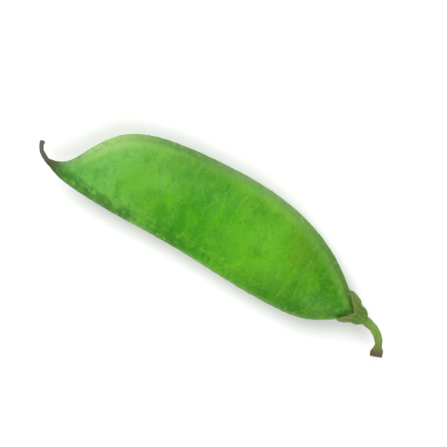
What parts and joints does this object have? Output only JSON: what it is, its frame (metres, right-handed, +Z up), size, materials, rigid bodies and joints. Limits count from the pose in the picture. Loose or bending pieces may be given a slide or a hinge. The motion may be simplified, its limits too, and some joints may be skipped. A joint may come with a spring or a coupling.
{
  "type": "hyacinth bean",
  "caption": "Fresh green hyacinth bean pod, flat and humped along its back, with a hooked beak, dry style thread, small calyx and short bent stalk, lying on its broad side.",
  "frame": {"origin": "on the surface the pod lies on, under the middle of the pod's box", "axes": "+X from the beak to the stalk along the pod, +Y towards the humped back edge, +Z up out of the surface through the pod's thickness"},
  "size_m": [0.0798, 0.0218, 0.0078],
  "materials": {
    "pod_skin": "satin",
    "calyx_skin": "matte",
    "stalk_skin": "matte",
    "dry_style": "matte"
  },
  "bodies": {
    "root": {"pod": "pod_skin", "calyx": "calyx_skin", "stalk": "stalk_skin", "style_tail": "dry_style"}
  },
  "joints": []
}
